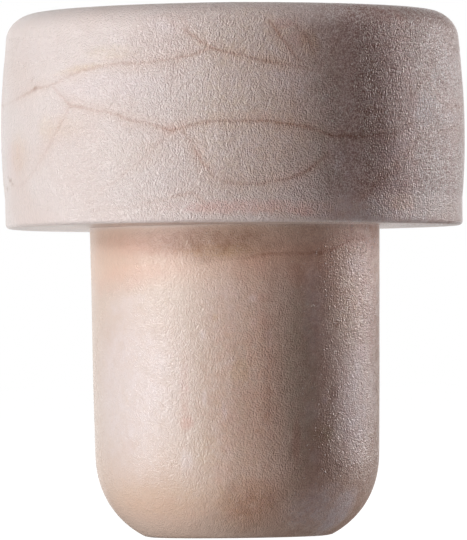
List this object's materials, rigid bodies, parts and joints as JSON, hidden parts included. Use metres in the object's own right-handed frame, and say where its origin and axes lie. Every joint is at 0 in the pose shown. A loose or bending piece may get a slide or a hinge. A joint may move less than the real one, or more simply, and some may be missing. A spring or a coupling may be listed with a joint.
{
  "type": "cork stopper",
  "caption": "T-shaped bottle stopper: a round, slightly bellied head on a tapering plug with a rounded nose, moulded whole in cork-coloured foamed plastic.",
  "frame": {"origin": "centre of the shank's flat end, on which the stopper stands", "axes": "+Z along the turning axis, from the shank to the head's flat top; X and Y are free, because the piece is round"},
  "size_m": [0.0312, 0.0312, 0.0352],
  "materials": {
    "moulded_cork": "foamed thermoplastic in cork colour, fine pebbled moulded skin, satin to matt"
  },
  "bodies": {
    "root": {"stopper": "moulded_cork"}
  },
  "joints": []
}
